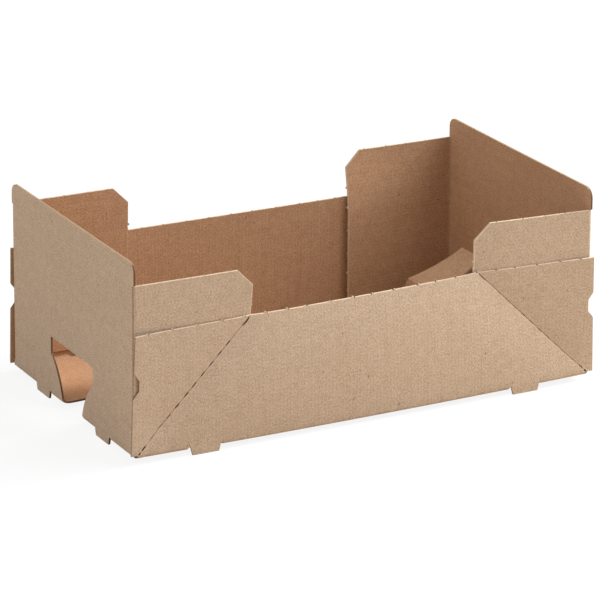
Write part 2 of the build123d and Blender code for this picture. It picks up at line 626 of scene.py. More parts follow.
@dataclass
class Tongue:
    """The tongue cut from the floor of one end: riser, ramp and the keystone at its tip.

    Lengths are in millimetres, and the shape is that of the right-hand end.
    """

    board: Board
    tray_half: float
    foot_drop: float
    root_width: float = 69.0
    knee_width: float = 49.0
    neck_width: float = 30.0
    neck_from_fold: float = 6.0
    fold_width: float = 33.5
    fold_flare: float = 12.0
    riser: float = 50.0
    riser_angle: float = 74.0
    ramp: float = 47.0
    ramp_angle: float = 27.0
    head_height: float = 46.5
    head_width: float = 73.5
    shoulder: float = 33.0
    hinge_step: float = 5.8
    side_step: float = 5.0
    end_step: float = 6.0
    column_step: float = 4.9
    waist_steps: tuple[int, int] = (10, 4)
    flare_steps: int = 14
    clear: float = 0.8

    @staticmethod
    def tangent(radius: float, turn: float) -> float:
        """Give how far before its corner a bend of that radius and turn in degrees starts."""
        return radius * math.tan(math.radians(abs(turn)) / 2)

    @property
    def root(self) -> float:
        """Place along the floor where the hinge starts."""
        hinge = self.tray_half - self.riser - self.ramp
        return hinge - self.tangent(self.board.outside_radius, self.riser_angle)

    def runs(self) -> list[tuple[float, float]]:
        """List the tongue's bends and flats along the middle of the board.

        Returns:
            Length and turn in degrees of each run, from the hinge to the tip.
        """
        inside = self.board.outside_radius - self.board.thickness
        knee_turn = self.ramp_angle - self.riser_angle
        tip_turn = -90.0 - self.ramp_angle
        hinge_cut = self.tangent(self.board.outside_radius, self.riser_angle)
        knee_cut = self.tangent(inside, knee_turn)
        tip_cut = self.tangent(inside, tip_turn)
        runs = []
        for turn, length in (
            (self.riser_angle, self.riser - hinge_cut - knee_cut),
            (knee_turn, self.ramp - knee_cut - tip_cut),
            (tip_turn, self.head_height - tip_cut),
        ):
            runs.append((self.board.middle_radius * math.radians(abs(turn)), turn))
            runs.append((length, 0.0))
        return runs

    def waist(self, knee: float, neck: float, fold: float) -> list[Flat]:
        """Draw one side of the tongue where it curves in to its neck.

        Args:
            knee: Place of the knee along the sheet.
            neck: Place of the neck.
            fold: Place of the fold that the keystone starts from.

        Returns:
            Points from the knee to the fold, with v positive.
        """
        narrow = (neck, self.neck_width / 2)
        before, after = self.waist_steps
        inwards = tangent_arc(narrow, (-1.0, 0.0), (knee, self.knee_width / 2), before)
        outwards = tangent_arc(narrow, (1.0, 0.0), (fold, self.fold_width / 2), after)
        return [*reversed(inwards), *outwards[1:]]

    def keystone(self, fold: float) -> list[Flat]:
        """Draw one side of the keystone.

        Args:
            fold: Place of the fold that it starts from.

        Returns:
            Points from the fold to the corner of its wide end, with v positive.
        """
        flare = math.radians(self.fold_flare)
        heading = (math.cos(flare), math.sin(flare))
        shoulder = (fold + self.shoulder, self.head_width / 2)
        curve = tangent_arc((fold, self.fold_width / 2), heading, shoulder, self.flare_steps)
        return [*curve, (fold + self.head_height, self.head_width / 2)]

    def root_row(self) -> list[Flat]:
        """Draw the hinge line, which the tongue shares with the floor.

        Returns:
            Its points, from -v to +v.
        """
        half = self.root_width / 2
        ends = ((self.root, -half), (self.root, half))
        return [*straight(*ends, self.hinge_step), ends[1]]

    def sheet(self) -> Sheet:
        """Cut the tongue out flat.

        Returns:
            The sheet, with rows of points across it for the bends.
        """
        lengths = [length for length, _ in self.runs()]
        fold = self.root + sum(lengths[:-1]) - lengths[-2] / 2
        hinge = self.root + lengths[0] / 2
        knee = hinge + self.riser
        side = [
            *straight((hinge, self.root_width / 2), (knee, self.knee_width / 2), self.side_step),
            *self.waist(knee, fold - self.neck_from_fold, fold),
            *self.keystone(fold)[1:],
        ]
        far = side[-1]
        end = straight(far, (far[0], -far[1]), self.end_step)[1:]
        other = [(u, -v) for u, v in reversed(side)]
        outline = [*self.root_row(), *side, *end, *other]
        inner = []
        place = self.root
        columns = int(self.head_width / 2 / self.column_step)
        for length, turn in self.runs():
            steps = FOLD_STEPS if turn else max(1, round(length / self.side_step))
            for number in range(steps + 1):
                row = place + length * number / steps
                if row > self.root + CLOSE:
                    inner.extend((row, n * self.column_step) for n in range(-columns, columns + 1))
            place += length
        return Sheet.cut(outline, [], [p for p in inner if self._well_inside(p, outline)])

    def _well_inside(self, point: Flat, outline: Sequence[Flat]) -> bool:
        """Tell whether a point is inside an outline and clear of its corners."""
        clear = all(math.dist(point, corner) > self.clear for corner in outline)
        return clear and encloses(outline, point)

    def place(self, u: float, v: float, depth: float) -> Vector:
        """Carry a point of the flat tongue to its place.

        Args:
            u: Place along the blank.
            v: Place across it.
            depth: Distance under the outside face.

        Returns:
            The place in the right-hand end of the tray.
        """
        x, z = self.root, self.foot_drop + self.board.thickness / 2
        heading = 0.0
        left = u - self.root
        for length, turn in self.runs():
            run = min(left, length)
            if turn:
                sign = math.copysign(1.0, turn)
                angle = sign * run / self.board.middle_radius
                radius = sign * self.board.middle_radius
                x += radius * (math.sin(heading + angle) - math.sin(heading))
                z -= radius * (math.cos(heading + angle) - math.cos(heading))
                heading += angle
            else:
                x += run * math.cos(heading)
                z += run * math.sin(heading)
            left -= run
            if left <= 1e-9:
                break
        rise = depth - self.board.thickness / 2
        return Vector((x - rise * math.sin(heading), v, z + rise * math.cos(heading)))


@dataclass
class Blank:
    """The tray's blank: every cut line in the flat, and the way each point folds.

    Lengths are in millimetres, measured on the folded tray over its outside faces. A span is what
    the dice draw from: a factor on a burr's or slit's size or pitch, or a slit's shift or bow.
    """

    board: Board = field(default_factory=Board)
    relaxed: Relaxed = field(default_factory=Relaxed)
    length: float = 381.0
    depth: float = 213.0
    wall_height: float = 94.0
    end_height: float = 146.5
    end_corner: float = 8.0
    ear_length: float = 95.0
    ear_height: float = 130.0
    ear_chamfer: float = 12.5
    ear_floor_gap: float = 3.8
    ear_clearance: float = 0.15
    overhang_base: float = 2.6
    overhang_top: float = 0.8
    notch_centre: float = 56.0
    notch_mouth: float = 20.0
    notch_bottom: float = 8.0
    notch_inset: float = 3.0
    foot_drop: float = 4.3
    foot_length: float = 24.5
    foot_sole: float = 21.0
    foot_slack: float = 0.4
    wall_foot_from_corner: float = 56.5
    end_foot_from_corner: float = 55.0
    relief: float = 0.2
    ear_slit: float = 0.3
    slit_pitch: float = 9.7
    slit_length: float = 5.0
    slit_from_corner: float = 8.0
    slit_shift: Span = (-0.4, 0.4)
    slit_lengthening: Span = (0.88, 1.1)
    slit_widening: Span = (0.8, 1.15)
    slit_bow: Span = (-0.2, 0.2)
    corner_slit: tuple[float, float, float] = (4.1, 2.4, 1.2)
    first_slit_extra: float = 0.35
    thin_slits: int = 3
    thin_share: float = 0.55
    last_slit: float = 8.4
    last_slit_gap: float = 1.4
    last_slit_bow: float = -0.6
    slit_widths: dict[tuple[int, int], float] = field(
        default_factory=lambda: {(-1, -1): 0.9, (1, -1): 0.5, (-1, 1): 0.5, (1, 1): 0.5}
    )
    slit_lower: tuple[Flat, ...] = ((0.0, 0.0), (0.15, -0.5), (0.5, -0.5), (0.85, -0.5), (1.0, 0.0))
    slit_upper: tuple[Flat, ...] = ((0.85, 0.5), (0.5, 0.5), (0.15, 0.5))
    # Reach of the painted shade on cut edges in slits and side notches.
    shaded_half_width: float = 2.6
    shaded_from_fold: float = 1.0
    shaded_from_top: float = 0.5
    shaded_from_ear: float = 0.6
    burr_pitch: float = 18.5
    first_burr: Span = (0.15, 0.7)
    next_burr: Span = (0.8, 1.15)
    burr_rise: Span = (0.35, 0.75)
    burr_width: Span = (0.5, 0.9)
    burr_margin: float = 2.0
    wall_burrs: dict[int, float] = field(default_factory=lambda: {-1: 1.55, 1: 0.6})
    ear_burrs: float = 1.9
    ear_top_burrs: float = 0.5
    opening_burrs: float = 1.5
    burr_shape: tuple[Flat, ...] = ((-1.3, 0.0), (-0.7, -0.6), (-0.2, 1.0), (0.5, 0.8), (1.0, 0.0))
    grid: float = 6.0
    grid_offset: Flat = (1.3, 0.9)
    grid_share: float = 0.6
    first_step: float = 0.8
    corner_steps: int = 8
    crease_step: float = 2.2
    crease_first: int = 3
    crease_margin: float = 0.4
    crease_rows: tuple[float, ...] = (-4.0, -1.9, -0.9, -0.45, 0.0, 0.45, 0.9, 1.9, 4.0)
    clear: float = 0.3
    touch: float = 0.1
    seed: int = 20

    def __post_init__(self) -> None:
        """Work out the fold lines in the flat."""
        self.dice = random.Random(self.seed)
        self.half_length = self.length / 2
        self.half_depth = self.depth / 2
        radius, arc = self.board.outside_radius, self.board.arc
        self.crease_top = self.foot_drop + radius
        self.end_start = self.half_length - radius
        self.end_flat = self.end_start + arc
        self.wall_start = self.half_depth - radius
        self.wall_flat = self.wall_start + arc
        self.end_half = self.half_depth - self.board.thickness - self.ear_clearance
        self.ear_start = self.end_half - radius
        self.ear_flat = self.ear_start + arc
        self.wall_edge = self.wall_flat + self.foot_drop + self.wall_height - self.crease_top
        self.end_edge = self.up_end(self.end_height)
        self.ear_low = self.end_flat + self.ear_floor_gap
        self.ear_high = self.up_end(self.ear_height)
        self.ear_tip = self.ear_flat + self.ear_length - radius
        self.corner_line = self.half_length + self.up_wall(0.0)
        self.tongue = Tongue(self.board, self.half_length, self.foot_drop)

    def up_end(self, height: float) -> float:
        """Give the place in the flat of a height above the bottom fold on an end panel."""
        return self.end_flat + self.foot_drop + height - self.crease_top

    def up_wall(self, height: float) -> float:
        """Give the place in the flat of a height above the bottom fold on a long wall."""
        return self.wall_flat + self.foot_drop + height - self.crease_top

    def raw_edge(self, height: float) -> float:
        """Give how far the raw side edge of a long wall reaches at a height."""
        share = height / self.wall_height
        return self.half_length + self.overhang_base + share * (self.overhang_top - self.overhang_base)

    def burrs(self, start: Flat, end: Flat, outward: Flat, size: float = 1.0) -> list[Flat]:
        """Draw a straight cut with the small torn burrs that hold a blank in its sheet.

        Args:
            start: First point.
            end: Last point, which the next cut gives.
            outward: Direction out of the board.
            size: Scale of the burrs.

        Returns:
            The points of the cut, leaving out its end.
        """
        length = math.dist(start, end)
        ahead = ((end[0] - start[0]) / length, (end[1] - start[1]) / length)
        points: list[Flat] = [start]
        place = self.burr_pitch * self.dice.uniform(*self.first_burr)
        last = 0.0
        while place < length - self.burr_margin:
            for share in (1 / 3, 2 / 3):
                step = last + (place - last) * share
                points.append((start[0] + ahead[0] * step, start[1] + ahead[1] * step))
            proud = size * self.dice.uniform(*self.burr_rise)
            width = size * self.dice.uniform(*self.burr_width)
            for along, out in self.burr_shape:
                step = place + along * width
                points.append(
                    (
                        start[0] + ahead[0] * step + outward[0] * out * proud,
                        start[1] + ahead[1] * step + outward[1] * out * proud,
                    )
                )
            last = place + width
            place += self.burr_pitch * self.dice.uniform(*self.next_burr)
        clean = (start[0] + ahead[0] * last, start[1] + ahead[1] * last)
        points.extend(straight(clean, end, self.grid)[1:])
        return points

    def quarter(self, burr_size: float) -> list[Flat]:
        """Draw the right-hand back quarter of the outline, from wall top to end panel top.

        Args:
            burr_size: Scale of the burrs along the wall's top.

        Returns:
            The points of the quarter.
        """
        notch_low = self.notch_centre - self.notch_mouth / 2
        notch_high = self.notch_centre + self.notch_mouth / 2
        notch_side = self.half_length - self.notch_inset
        half_bottom = self.notch_bottom / 2
        strip_foot = self.wall_flat + self.relief
        panel_foot = self.ear_low - self.relief
        corner = (self.raw_edge(self.wall_height), self.wall_edge)
        points = self.burrs((0.0, self.wall_edge), corner, (0.0, 1.0), burr_size)
        points.extend(
            [
                corner,
                (self.raw_edge(notch_high), self.up_wall(notch_high)),
                (notch_side, self.up_wall(self.notch_centre + half_bottom)),
                (notch_side, self.up_wall(self.notch_centre - half_bottom)),
                (self.raw_edge(notch_low), self.up_wall(notch_low)),
                (self.raw_edge(0.0), strip_foot),
                (self.end_start, strip_foot),
                (self.end_start, self.wall_start),
                (panel_foot, self.wall_start),
                (panel_foot, self.ear_start),
                (self.ear_low, self.ear_start),
            ]
        )
        ear_foot = (self.ear_low, self.ear_tip)
        ear_corner = (self.ear_high - self.ear_chamfer, self.ear_tip)
        points.extend(straight((self.ear_low, self.ear_flat), ear_foot, self.grid))
        points.extend(self.burrs(ear_foot, ear_corner, (0.0, 1.0), self.ear_burrs))
        points.append(ear_corner)
        ear_shoulder = (self.ear_high, self.ear_tip - self.ear_chamfer)
        ear_root = (self.ear_high, self.ear_flat)
        points.extend(self.burrs(ear_shoulder, ear_root, (1.0, 0.0), self.ear_top_burrs))
        points.extend(
            [
                ear_root,
                (self.ear_high, self.ear_start),
                (self.ear_high + self.ear_slit, self.ear_start),
                (self.ear_high + self.ear_slit, self.end_half),
            ]
        )
        centre = (self.end_edge - self.end_corner, self.end_half - self.end_corner)
        points.extend(round_corner(centre, self.end_corner, 90.0, 0.0, self.corner_steps))
        points.extend(straight((self.end_edge, centre[1]), (self.end_edge, 0.0), self.grid)[1:])
        points.append((self.end_edge, 0.0))
        return points

    def outline(self) -> list[Flat]:
        """Draw the whole cut round the blank.

        Returns:
            Its points, in order.
        """
        points: list[Flat] = []
        for side_u, side_v in ((1, 1), (1, -1), (-1, -1), (-1, 1)):
            burr_size = self.wall_burrs[side_v]
            quarter = [(side_u * u, side_v * v) for u, v in self.quarter(burr_size)]
            if side_u * side_v < 0:
                quarter.reverse()
            points.extend(quarter[:-1])
        return points

    def foot_slot(self, centre: float, line: float) -> list[Flat]:
        """Draw the cut round one foot, as places along the fold and out across it.

        Args:
            centre: Middle of the foot along the fold.
            line: Where the panel past the fold turns flat.

        Returns:
            The slot's outline.
        """
        sole = line - self.crease_top
        half, half_sole = self.foot_length / 2, self.foot_sole / 2
        slack = self.foot_slack
        outer = [
            (centre - half - slack, line),
            (centre - half_sole - slack, sole - slack),
            (centre + half_sole + slack, sole - slack),
            (centre + half + slack, line),
        ]
        inner = [
            (centre + half, line),
            (centre + half_sole, sole),
            (centre - half_sole, sole),
            (centre - half, line),
        ]
        return [*outer, *inner]

    def tongue_opening(self) -> list[Flat]:
        """Draw the opening that the tongue and its keystone leave.

        Returns:
            The right-hand opening's outline.
        """
        tongue = self.tongue
        hinge = self.half_length - tongue.riser - tongue.ramp
        fold = self.up_end(0.0)
        side = [
            (hinge, tongue.root_width / 2),
            *tongue.waist(hinge + tongue.riser, self.half_length - tongue.neck_from_fold, fold),
            *tongue.keystone(fold)[1:],
        ]
        far = side[-1]
        top = self.burrs(far, (far[0], -far[1]), (-1.0, 0.0), self.opening_burrs)[1:]
        other = [(u, -v) for u, v in reversed(side)]
        return [*tongue.root_row(), *side, *top, *other]

    def slits(self) -> list[list[Flat]]:
        """Draw the slits of the cut creases on the four corner lines.

        Returns:
            The outline of each slit.
        """
        diagonal = self.wall_height * math.sqrt(2)
        count = int((diagonal - self.slit_from_corner) / self.slit_pitch)
        slits = []
        for (side_u, side_v), width in self.slit_widths.items():
            side = (side_u, side_v)
            slits.append(self._slit(side, *self.corner_slit, 0.0))
            for number in range(count):
                reach = self.slit_from_corner + number * self.slit_pitch
                reach += self.dice.uniform(*self.slit_shift)
                length = self.slit_length * self.dice.uniform(*self.slit_lengthening)
                wide = width * self.dice.uniform(*self.slit_widening)
                bow = self.dice.uniform(*self.slit_bow)
                if number == 0:
                    wide += self.first_slit_extra
                elif number <= self.thin_slits:
                    wide *= self.thin_share
                if number == count - 1:
                    reach = diagonal - self.last_slit - self.last_slit_gap
                    length = self.last_slit
                    bow = self.last_slit_bow
                slits.append(self._slit(side, reach, length, wide, bow))
        return slits

    def _slit(
        self, side: tuple[int, int], reach: float, length: float, width: float, bow: float
    ) -> list[Flat]:
        """Draw one slit on a corner line.

        Args:
            side: Sides of the corner that the line runs into.
            reach: Distance from the corner along the line.
            length: Length of the slit.
            width: Width at its middle.
            bow: How far its middle stands off the line.

        Returns:
            Its outline, pointed at both ends.
        """
        points = []
        for along, out in self.slit_lower + self.slit_upper:
            run = (reach + along * length) / math.sqrt(2)
            off = (out * width + bow * 4 * along * (1 - along)) / math.sqrt(2)
            u = self.half_length - run + off
            v = self.up_wall(run + off)
            points.append((side[0] * u, side[1] * v))
        return points

    def holes(self) -> list[list[Flat]]:
        """List every cut inside the outline.

        Returns:
            The outline of each slit, opening and foot's slot.
        """
        holes = self.slits()
        opening = self.tongue_opening()
        holes.append(opening)
        holes.append([(-u, v) for u, v in opening])
        for side_u in (-1, 1):
            for side_v in (-1, 1):
                along = side_u * (self.half_length - self.wall_foot_from_corner)
                slot = self.foot_slot(along, self.wall_flat)
                holes.append([(u, side_v * v) for u, v in slot])
                across = side_v * (self.half_depth - self.end_foot_from_corner)
                slot = self.foot_slot(across, self.end_flat)
                holes.append([(side_u * u, v) for v, u in slot])
        return holes

    def inner_points(self) -> list[Flat]:
        """List the points inside the blank that the triangles may meet at.

        Returns:
            A grid over the blank, and rows along each crease.
        """
        points: list[Flat] = []
        columns = math.ceil(self.end_edge / self.grid)
        rows = math.ceil(self.wall_edge / self.grid)
        for column in range(-columns, columns + 1):
            for row in range(-rows, rows + 1):
                points.append(
                    (column * self.grid + self.grid_offset[0], row * self.grid + self.grid_offset[1])
                )
        for number in range(FOLD_STEPS + 1):
            share = self.board.arc * number / FOLD_STEPS
            for side in (-1, 1):
                u = side * (self.end_start + share)
                for v in self._steps(self.first_step, self.wall_start):
                    points.extend([(u, -v), (u, v)])
                for start, first, last in (
                    (self.wall_start, self.first_step, self.end_start),
                    (self.ear_start, self.ear_low, self.ear_high),
                ):
                    v = side * (start + share)
                    for u in self._steps(first, last):
                        points.extend([(-u, v), (u, v)])
        points.extend(self._crease_points())
        return points

    def _crease_points(self) -> list[Flat]:
        """List rows of points along the four cut creases.

        Returns:
            The points.
        """
        points = []
        length = self.wall_height * math.sqrt(2)
        for number in range(self.crease_first, round(length / self.crease_step)):
            for off in self.crease_rows:
                reach = (number * self.crease_step + off) / math.sqrt(2)
                height = (number * self.crease_step - off) / math.sqrt(2)
                in_wall = height < self.wall_height - self.crease_margin
                if in_wall and reach > self.board.outside_radius:
                    points.extend(
                        (side_u * (self.half_length - reach), side_v * self.up_wall(height))
                        for side_u in (-1, 1)
                        for side_v in (-1, 1)
                    )
        return points

    def _steps(self, first: float, last: float) -> list[float]:
        """Divide a length into even steps, each about a set share of the grid."""
        count = max(1, round((last - first) / (self.grid * self.grid_share)))
        return [first + (last - first) * number / count for number in range(count + 1)]

    def sheet(self) -> Sheet:
        """Cut the blank without its tongues, and divide it into triangles.

        Returns:
            The sheet.
        """
        outline = self.outline()
        holes = self.holes()
        return Sheet.cut(outline, holes, self._kept(outline, holes))

    def _kept(self, outline: Sequence[Flat], holes: Iterable[Sequence[Flat]]) -> list[Flat]:
        """Choose the inner points that stand clear of every corner of the cuts.

        Args:
            outline: The cut round the blank.
            holes: The cuts inside it.

        Returns:
            The inner points that stand clear.
        """
        cell = 2.0
        taken: dict[tuple[int, int], list[Flat]] = {}
        for loop in (outline, *holes):
            for point in loop:
                key = (math.floor(point[0] / cell), math.floor(point[1] / cell))
                taken.setdefault(key, []).append(point)
        kept = []
        for point in self.inner_points():
            column, row = math.floor(point[0] / cell), math.floor(point[1] / cell)
            near = [
                other
                for step_u in (-1, 0, 1)
                for step_v in (-1, 0, 1)
                for other in taken.get((column + step_u, row + step_v), ())
            ]
            if all(math.dist(point, other) > self.clear for other in near):
                kept.append(point)
        return kept

    def zone(self, u: float, v: float) -> Zone:
        """Tell which part of the blank a point of the right-hand back quarter is in.

        Args:
            u: Place along the blank, positive.
            v: Place across it, positive.

        Returns:
            The zone.
        """
        if self._in_foot(u - (self.half_length - self.wall_foot_from_corner), v - self.wall_flat):
            return Zone.WALL_FOOT
        if self._in_foot(v - (self.half_depth - self.end_foot_from_corner), u - self.end_flat):
            return Zone.END_FOOT
        slit = self.ear_high + self.ear_slit / 2
        in_ear = u < slit or v > self.end_half + self.touch
        if u > self.ear_low - self.touch and v > self.ear_start - 1e-6 and in_ear:
            return Zone.EAR
        if u > self.end_start + 1e-6 and v < self.wall_start + 1e-6:
            return Zone.END_PANEL
        if u > slit:
            return Zone.END_PANEL
        if v > self.wall_start:
            return Zone.LONG_WALL
        return Zone.FLOOR

    def on_lit_rim(self, u: float, v: float) -> bool:
        """Tell whether a point is on a wall's top or an ear's edge.

        Args:
            u: Place along the blank, positive.
            v: Place across it, positive.

        Returns:
            Whether the cut edge there gets the paler paper of a painted highlight.
        """
        by_ear = u > self.ear_low - self.touch
        on_wall = not by_ear and v > self.wall_edge - self.touch / 2
        high = self.ear_high - self.touch / 2 < u < self.ear_high + self.ear_top_burrs
        on_ear = v > self.ear_start and (high or v > self.ear_tip - self.ear_chamfer)
        return on_wall or (on_ear and by_ear)

    def in_shaded_cut(self, u: float, v: float) -> bool:
        """Tell whether a point is in a slit or a side notch, where the cut edges are painted dark as
        shade.

        Args:
            u: Place along the blank, positive.
            v: Place across it, positive.

        Returns:
            Whether the edge there faces another edge or an ear, and gets the painted shade.
        """
        up = v - self.up_wall(0.0)
        on_line = abs(u + v - self.corner_line) < self.shaded_half_width
        on_wall = self.shaded_from_fold < up < self.wall_height - self.shaded_from_top
        in_notch = abs(up - self.notch_centre) < self.notch_mouth / 2 + self.touch
        notch_side = self.half_length - self.notch_inset - self.touch
        beside_wall = notch_side < u < self.ear_low - self.shaded_from_ear
        return (on_line and on_wall) or (in_notch and beside_wall)

    def marks(self, score_and_crease_shade: Colour, lip_highlight: Colour, rim: Colour) -> list[Mark]:
        """List the lines painted on the liner along the folds and cuts: painted crease shade and
        highlights.

        Args:
            score_and_crease_shade: Tone of the crushed liner in a crease, darkened further as painted
                shade.
            lip_highlight: Painted highlight on the liner raised beside a cut crease.
            rim: Painted highlight along a cut edge that catches the light.

        Returns:
            The marks.
        """
        fold = self.ear_start + self.board.arc / 2
        slope = (math.sqrt(0.5), math.sqrt(0.5))
        wall = (self.up_wall(2.0), self.wall_edge)
        ear = (self.ear_low, self.ear_high)
        middle = (0.0, self.half_length)
        line = self.corner_line * math.sqrt(0.5)
        chamfer = (self.ear_high - self.ear_chamfer + self.ear_tip) * math.sqrt(0.5)
        straight_top = self.ear_tip - self.ear_chamfer
        return [
            # Dark lines are crushed liner with painted crease shade on the ear folds and corner lines;
            # pale lines are painted highlights on the crease lips and along the cut edges.
            Mark((0.0, 1.0), fold - 0.6, ear, (fold - 2.0, fold + 2.0), 0.4, score_and_crease_shade, 0.8),
            Mark(slope, line, middle, wall, 0.4, score_and_crease_shade, 0.4),
            Mark(slope, line - 1.0, middle, wall, 0.3, lip_highlight, 0.35),
            Mark(slope, line + 1.0, middle, wall, 0.3, lip_highlight, 0.35),
            Mark((0.0, 1.0), self.ear_tip, ear, (self.ear_start, self.ear_tip), 0.6, rim, 0.9),
            Mark(slope, chamfer, ear, (straight_top, self.ear_tip), 0.6, rim, 0.9),
            Mark((1.0, 0.0), self.ear_high, ear, (self.ear_start, straight_top), 0.3, rim, 0.6),
            Mark((0.0, 1.0), self.wall_edge, middle, wall, 0.25, rim, 0.35),
        ]

    def _in_foot(self, along: float, out: float) -> bool:
        """Tell whether a place is in a foot.

        Args:
            along: Distance along the fold from the foot's middle.
            out: Distance out from its panel's flat.

        Returns:
            Whether the place is in the foot.
        """
        if not -self.crease_top - self.touch < out <= 0.0:
            return False
        share = -out / self.crease_top
        half = self.foot_length / 2 + share * (self.foot_sole - self.foot_length) / 2
        return abs(along) < half + self.touch

    def place(self, u: float, v: float, depth: float) -> Vector:
        """Carry a point of the flat blank to its place in the folded tray.

        Args:
            u: Place along the blank.
            v: Place across it.
            depth: Distance under the outside face.

        Returns:
            The folded place.
        """
        side_u = -1 if u < 0 else 1
        side_v = -1 if v < 0 else 1
        u, v = abs(u), abs(v)
        zone = self.zone(u, v)
        if zone is Zone.WALL_FOOT:
            x, y, z = u, self.half_depth - depth, self.crease_top + v - self.wall_flat
        elif zone is Zone.END_FOOT:
            x, y, z = self.half_length - depth, v, self.crease_top + u - self.end_flat
        elif zone is Zone.LONG_WALL:
            ahead, rise = self.board.bend(v - self.wall_start, depth)
            x, y, z = u, self.wall_start + ahead, self.foot_drop + rise
            x, y, z = self._relax_wall(side_u, side_v, x, y, z)
        elif zone is Zone.END_PANEL:
            ahead, rise = self.board.bend(u - self.end_start, depth)
            x, y, z = self.end_start + ahead, v, self.foot_drop + rise
            x -= self._end_lean(side_u, side_v * y) * max(0.0, z - self.crease_top)
            z += self._lift(side_u, side_v * y, z)
        elif zone is Zone.EAR:
            z = self.crease_top + u - self.end_flat
            ahead, rise = self.board.bend(v - self.ear_start, depth)
            x, y = self.half_length - rise, self.ear_start + ahead
            x, y = self._relax_ear(side_u, side_v, x, y, z)
            z += self._lift(side_u, side_v * y, z)
        else:
            x, y, z = u, v, self.foot_drop + depth
        return Vector((side_u * x, side_v * y, z + self._bow(side_u * x, side_v * y)))

    def _bow(self, x: float, y: float) -> float:
        """Give the height that the bowed front edge of the floor adds.

        Args:
            x: Place along the tray from its middle.
            y: Place across it.

        Returns:
            The added height, which is negative at the middle of the front.
        """
        share = min(max((x + self.half_length) / self.length, 0.0), 1.0)
        front = min(max((self.half_depth - y) / self.depth, 0.0), 1.0)
        return self.relaxed.front_bow * (1 - 8 * share * (1 - share)) * front

    def _lift(self, side_u: int, y: float, z: float) -> float:
        """Give how far the right end panel is raised towards its front edge.

        Args:
            side_u: -1 at the left and 1 at the right.
            y: Place across the tray from its middle.
            z: Height over the surface that the tray stands on.

        Returns:
            The added height.
        """
        front = min(max(0.5 - y / self.depth, 0.0), 1.0)
        height = max(0.0, z - self.crease_top) / self.end_height
        return self.relaxed.right_lift * front * front * height if side_u > 0 else 0.0

    def _end_lean(self, side_u: int, y: float) -> float:
        """Give an end panel's lean at a place across the tray."""
        return self.relaxed.end_lean(side_u, (y + self.half_depth) / self.depth)

    def _wall_lean(self, side_u: int, side_v: int, x: float) -> float:
        """Give a long wall's lean at a place along the tray."""
        middle = self.length - 2 * self.wall_height
        return self.relaxed.wall_lean(side_v, (side_u * x + middle / 2) / middle)

    def _relax_wall(
        self, side_u: int, side_v: int, x: float, y: float, z: float
    ) -> tuple[float, float, float]:
        """Lean a long wall inwards, hinged on its bottom fold and on its corner lines.

        Args:
            side_u: -1 at the left and 1 at the right.
            side_v: -1 at the front and 1 at the back.
            x: Distance from the tray's middle along it.
            y: Distance across it.
            z: Height over the surface that the tray stands on.

        Returns:
            The three, relaxed.
        """
        height = max(0.0, z - self.crease_top)
        reach = max(0.0, self.half_length - x)
        inward = self._wall_lean(side_u, side_v, x) * min(height, reach)
        if side_v < 0 and reach > height:
            rise_share = math.sin(math.pi * min(height / self.wall_height, 1.0))
            off_corner = min((reach - height) / self.relaxed.bulge_rise, 1.0)
            inward -= self.relaxed.front_bulge * rise_share * math.sin(math.pi / 2 * off_corner)
        end = self._end_lean(side_u, side_v * self.half_depth)
        x -= end * height * max(0.0, 1 - reach / self.ear_length)
        drop = inward * inward / (2 * height) if height > 1 else 0.0
        corner = (side_u, side_v)
        rise = self.relaxed.crease_rise(corner, reach, z - self.foot_drop)
        rise += self.relaxed.curl(corner, reach, height / self.wall_height)
        return x, y - inward + rise, z - drop

    def _relax_ear(
        self, side_u: int, side_v: int, x: float, y: float, z: float
    ) -> tuple[float, float]:
        """Swing an ear inwards about its vertical fold.

        Args:
            side_u: -1 at the left and 1 at the right.
            side_v: -1 at the front and 1 at the back.
            x: Distance from the tray's middle along it.
            y: Distance across it.
            z: Height over the surface that the tray stands on.

        Returns:
            The distances along and across, relaxed.
        """
        height = z - self.crease_top
        corner = (side_u, side_v)
        wall = self._wall_lean(side_u, side_v, self.half_length)
        foot = wall + math.radians(self.relaxed.ear_feet[corner])
        top = math.radians(self.relaxed.ear_tops[corner])
        start = self.relaxed.ear_bend_start * self.wall_height
        share = min(max((height - start) / (self.ear_height - start), 0.0), 1.0)
        swing = foot + (top - foot) * share * share * (3 - 2 * share)
        reach = max(0.0, self.half_length - x)
        dent = self.relaxed.crease_rise(corner, reach, z - self.foot_drop)
        y -= swing * reach - min(dent, 0.0)
        x -= self._end_lean(side_u, side_v * self.half_depth) * height
        return x, y


